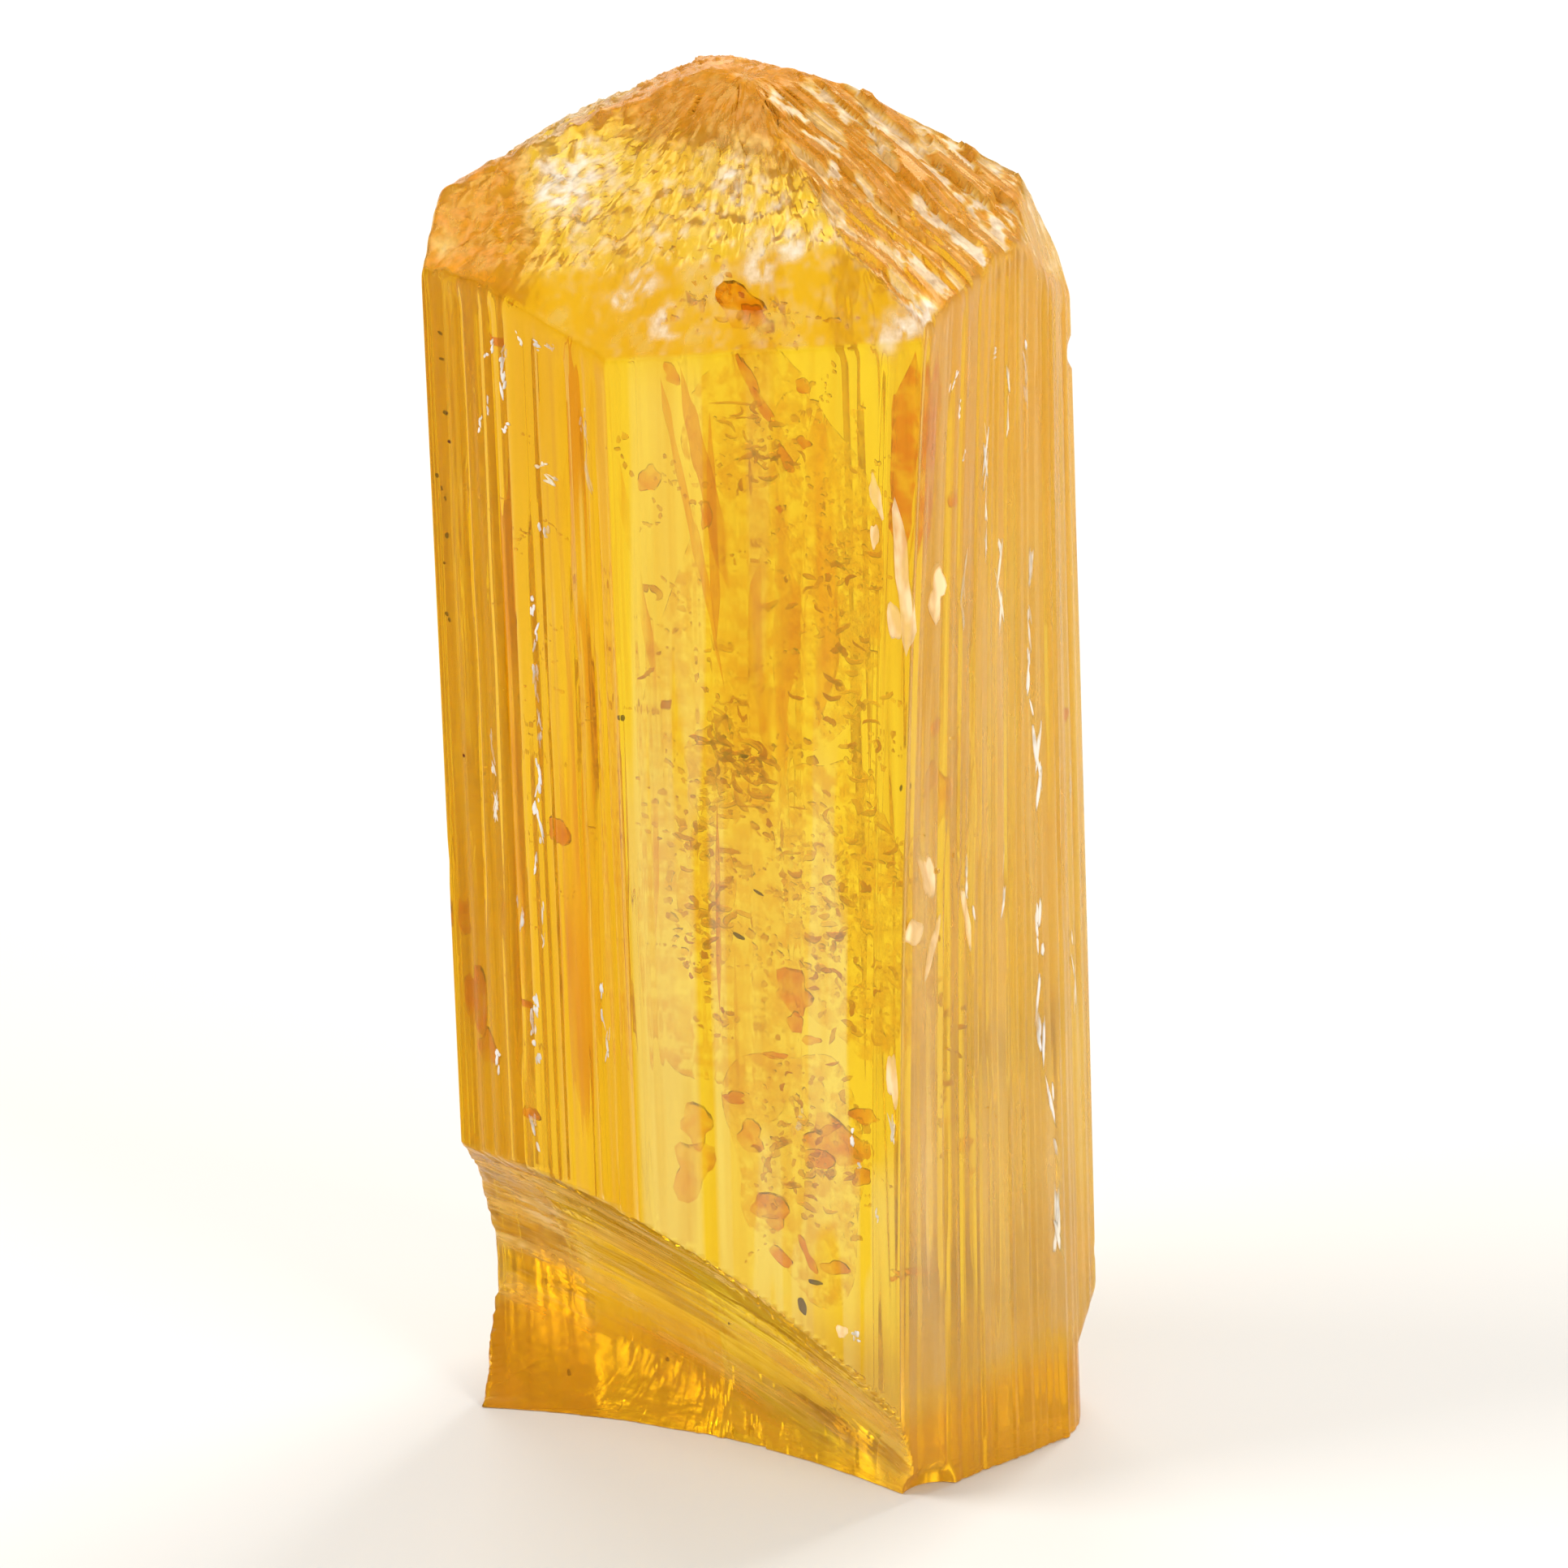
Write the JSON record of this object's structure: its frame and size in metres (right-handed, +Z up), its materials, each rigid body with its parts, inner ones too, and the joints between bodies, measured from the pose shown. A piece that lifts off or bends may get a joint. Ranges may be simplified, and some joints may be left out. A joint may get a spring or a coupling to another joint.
{
  "type": "topaz crystal",
  "caption": "Upright amber topaz crystal with a grooved prism, an etched roof-shaped top and a scooped, broken base",
  "frame": {"origin": "centre of the crystal's box, on the plane of its flat base", "axes": "+Z up the length of the prism, -Y towards the side seen in the picture, +X to the right of that side"},
  "size_m": [0.0152, 0.0118, 0.035],
  "materials": {
    "amber_topaz": "clear to milky amber, glossy with etched and grooved faces"
  },
  "bodies": {
    "root": {"topaz_crystal": "amber_topaz"}
  },
  "joints": []
}
